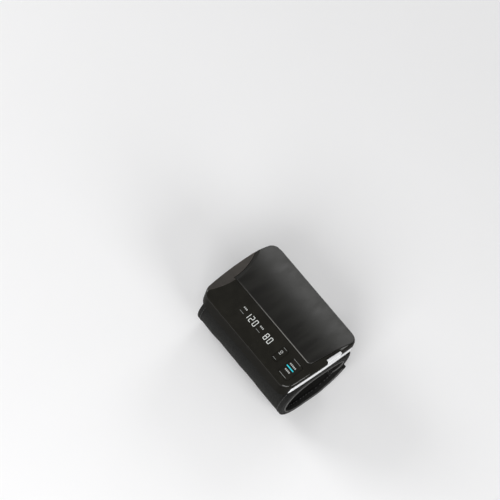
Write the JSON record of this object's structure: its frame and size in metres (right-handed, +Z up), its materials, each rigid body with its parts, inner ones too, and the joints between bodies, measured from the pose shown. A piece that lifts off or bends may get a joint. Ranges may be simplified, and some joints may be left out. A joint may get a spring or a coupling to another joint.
{
  "type": "upper-arm blood pressure monitor",
  "caption": "One-piece arched arm monitor with a dark display cover, sliding battery cover, push keys and a pre-formed fabric cuff loop below.",
  "frame": {"origin": "on the floor under the middle of the monitor, where the cuff loop lies", "axes": "+X along the arm to the near end with the white button, +Y toward the long side with the cuff tail, +Z up"},
  "size_m": [0.12, 0.085, 0.076],
  "materials": {
    "smoked_cover": "high-gloss near-black",
    "satin_panel": "brushed satin dark grey",
    "white_shell": "semi-gloss white",
    "tray_plastic": "matte dark grey",
    "board_laminate": "solder-mask green",
    "display_glass": "black display glass",
    "switch_black": "black moulded",
    "steel": "plated steel",
    "cell_wrap": "wrapped dry cell",
    "seal_rubber": "soft black",
    "curler_plastic": "natural springy sheet",
    "sleeve_fabric": "brushed grey knit",
    "lining_fabric": "smooth dark grey weave",
    "binding_tape": "woven edge tape",
    "closure_fabric": "hook-and-loop"
  },
  "bodies": {
    "monitor": {"top_cover": "smoked_cover", "rear_case": "white_shell", "case_screws": "steel", "main_board": "board_laminate", "board_screws": "steel", "display_module": "display_glass", "display_gasket": "seal_rubber", "start_switch": "switch_black", "memory_switch": "switch_black", "sync_switch": "switch_black", "pump_motor": "steel", "pump_head": "tray_plastic", "exhaust_valve": "steel", "air_manifold": "tray_plastic", "air_port": "tray_plastic", "port_seal": "seal_rubber", "pressure_sensor": "switch_black", "battery_tray": "tray_plastic", "battery_1": "cell_wrap", "battery_2": "cell_wrap", "battery_3": "cell_wrap", "battery_4": "cell_wrap", "contact_bridge": "steel", "contact_positive": "steel", "contact_negative": "steel", "cuff_rivets": "steel", "cuff_sleeve": "sleeve_fabric", "curler_sheet": "curler_plastic", "air_bladder": "seal_rubber", "cuff_lining": "lining_fabric", "far_binding": "binding_tape", "near_binding": "binding_tape", "wing_loops": "closure_fabric"},
    "start_key": {"start_key": "smoked_cover"},
    "memory_key": {"memory_key": "smoked_cover"},
    "sync_button": {"sync_button": "white_shell"},
    "battery_cover": {"battery_cover": "satin_panel"},
    "cuff_tail": {"cuff_tail": "sleeve_fabric", "tail_hooks": "closure_fabric"}
  },
  "joints": [
    {"name": "start_key_press", "type": "slide", "parent": "monitor", "child": "start_key", "axis": [0, 0.2373, -0.9714], "range_m": [0, 0.0005], "stiffness_N_per_m": 500, "springref_m": -0.0005},
    {"name": "memory_key_press", "type": "slide", "parent": "monitor", "child": "memory_key", "axis": [0, 0.2373, -0.9714], "range_m": [0, 0.0005], "stiffness_N_per_m": 500, "springref_m": -0.0005},
    {"name": "sync_button_press", "type": "slide", "parent": "monitor", "child": "sync_button", "axis": [-1, 0, 0], "range_m": [0, 0.0006], "stiffness_N_per_m": 500, "springref_m": -0.0006},
    {"name": "battery_cover_slide", "type": "slide", "parent": "monitor", "child": "battery_cover", "axis": [-1, 0, 0], "range_m": [0, 0.118]},
    {"name": "cuff_tail_fold", "type": "hinge", "parent": "monitor", "child": "cuff_tail", "pos_m": [0.0025, 0.03748, 0.02438], "axis": [-1, 0, 0], "range_deg": [0, 95]}
  ]
}
